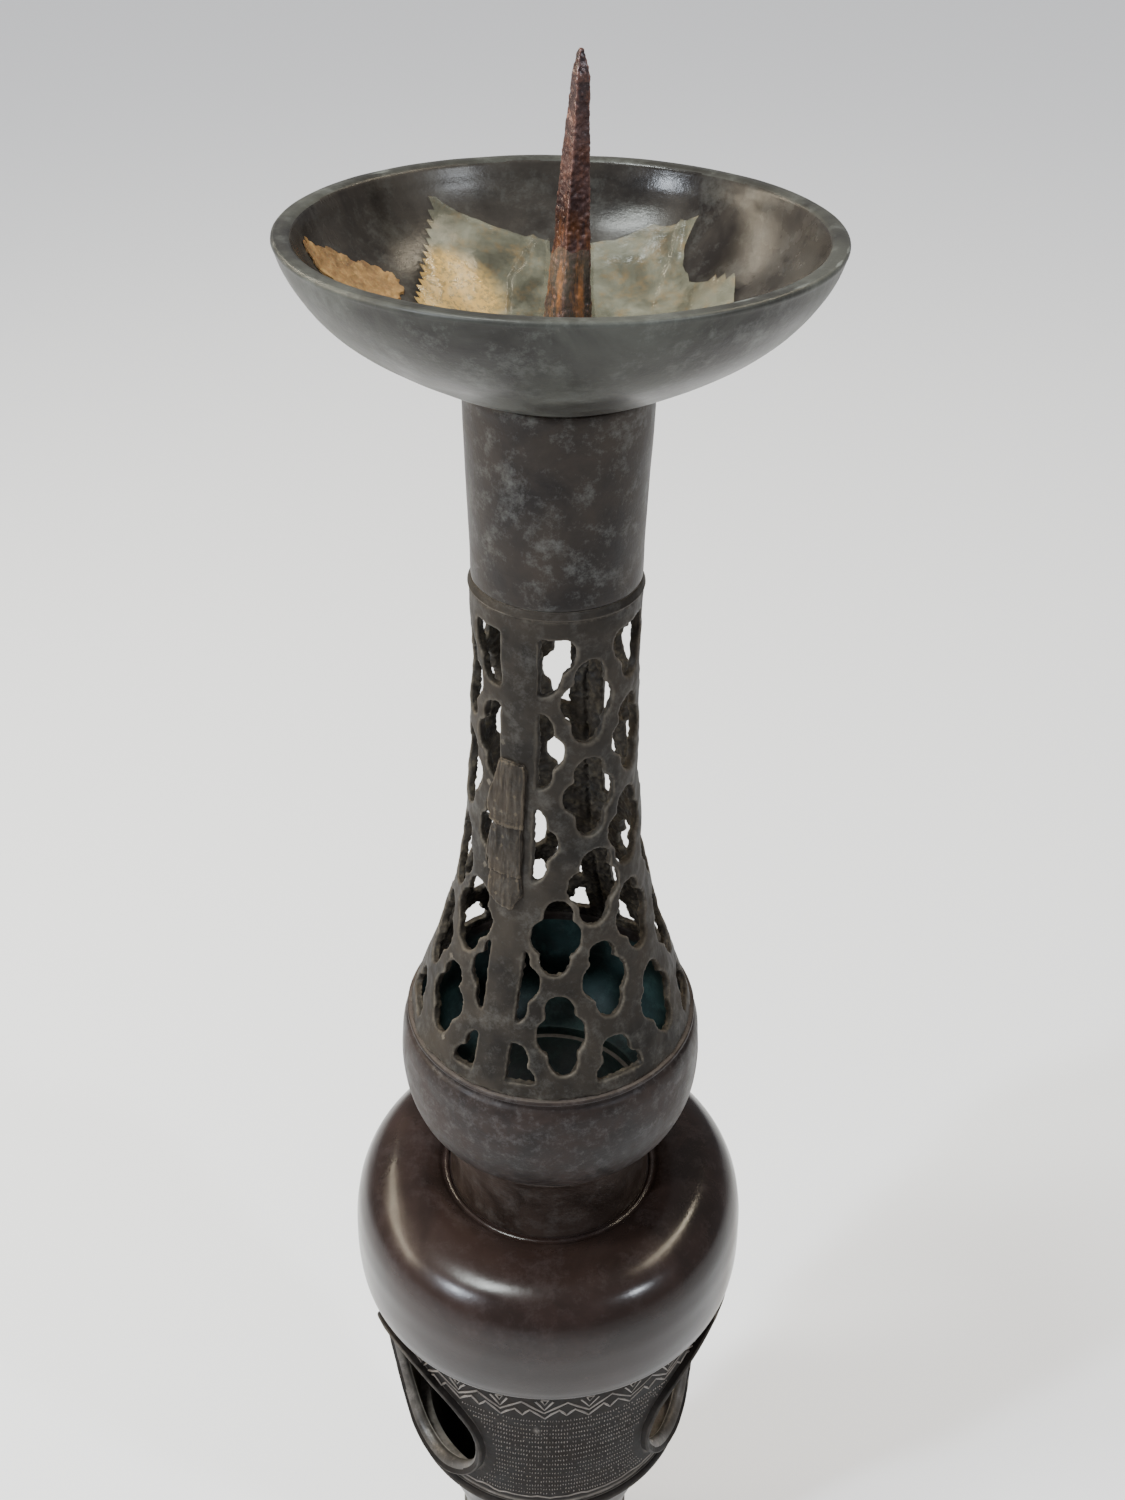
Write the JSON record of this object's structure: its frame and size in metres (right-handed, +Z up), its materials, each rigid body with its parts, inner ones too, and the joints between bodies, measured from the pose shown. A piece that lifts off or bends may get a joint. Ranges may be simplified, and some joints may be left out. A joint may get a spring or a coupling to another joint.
{
  "type": "altar candlestick",
  "caption": "Bronze pricket candlestick: deep drip pan with an iron spike, plain neck, openwork sleeve, bulb, and a windowed body on a spreading foot.",
  "frame": {"origin": "middle of the underside of the foot, on the surface that the candlestick stands on", "axes": "+Z up along the candlestick's axis, -Y to the front, +X to the right seen from the front"},
  "size_m": [0.1168, 0.1168, 0.5631],
  "materials": {
    "bronze_cast": "dark brown patina, satin",
    "bronze_relief": "dark grey patina over cast relief, worn pale on the raised edges",
    "bronze_rim": "dark patina worn to pale metal on the edges",
    "bronze_polished": "dark brown lacquered patina, polished",
    "bronze_collar": "dark brown patina with turning marks",
    "bronze_bulb": "brown patina with pale grey dust",
    "bronze_openwork": "warm dark grey-brown patina, rough inside",
    "bronze_tube": "dark brown mottled patina",
    "bronze_pan": "mottled grey-green brown patina, brushed",
    "rusty_iron": "rusty dark brown iron with orange scale",
    "iron_burr": "dark iron",
    "old_tape": "yellowed clear adhesive tape",
    "old_wax": "dull ochre wax film"
  },
  "bodies": {
    "base": {"foot_ring": "bronze_cast", "foot_bell": "bronze_cast", "waist_ring": "bronze_cast", "stem": "bronze_cast", "border_ring": "bronze_relief", "window_body": "bronze_relief", "window_frame_1": "bronze_rim", "window_frame_2": "bronze_rim", "window_frame_3": "bronze_rim", "shoulder": "bronze_polished"},
    "column": {"collar": "bronze_collar", "bulb": "bronze_bulb", "lattice_left": "bronze_openwork", "lattice_right": "bronze_openwork", "front_strip": "bronze_openwork", "neck_ring": "bronze_openwork", "neck_tube": "bronze_tube"},
    "pan_unit": {"pan_spigot": "bronze_tube", "drip_pan": "bronze_pan", "pricket_burr": "iron_burr", "pricket_spike": "rusty_iron", "tape_left": "old_tape", "tape_right": "old_tape", "tape_wrap": "old_tape", "wax_residue": "old_wax"}
  },
  "joints": [
    {"name": "column_lift", "type": "slide", "parent": "base", "child": "column", "axis": [0, 0, 1], "range_m": [0, 0.03]},
    {"name": "pan_lift", "type": "slide", "parent": "column", "child": "pan_unit", "axis": [0, 0, 1], "range_m": [0, 0.026]}
  ]
}
